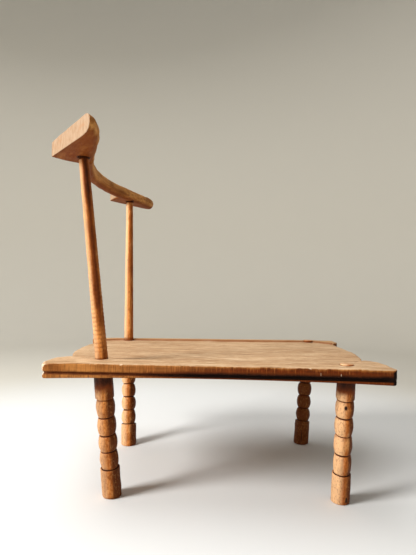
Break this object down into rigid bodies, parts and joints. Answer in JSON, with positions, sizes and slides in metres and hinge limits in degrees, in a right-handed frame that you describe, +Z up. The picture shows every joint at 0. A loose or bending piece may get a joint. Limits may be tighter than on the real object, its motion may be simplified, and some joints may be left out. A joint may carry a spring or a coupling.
{
  "type": "low wooden chair with head rail",
  "caption": "Low carved wooden chair: a dished plank seat on beaded round legs, with plain posts holding a crescent head rail with saw-cut horned ends.",
  "frame": {"origin": "on the floor, under the middle of the chair's bounding box", "axes": "+Z up; +X along the plank, from the head rail's end to the front end; +Y from the near side to the far side"},
  "size_m": [0.6063, 0.5977, 0.6145],
  "materials": {
    "seat_wood": "worn pale top, dark smoked edges",
    "leg_wood": "hand-cut facets, rubbed",
    "rail_wood": "rubbed, with pale raw saw cuts"
  },
  "bodies": {
    "root": {"seat": "seat_wood", "near_back_leg_post": "leg_wood", "far_back_leg_post": "leg_wood", "near_front_leg": "leg_wood", "far_front_leg": "leg_wood", "head_rail": "rail_wood"}
  },
  "joints": []
}
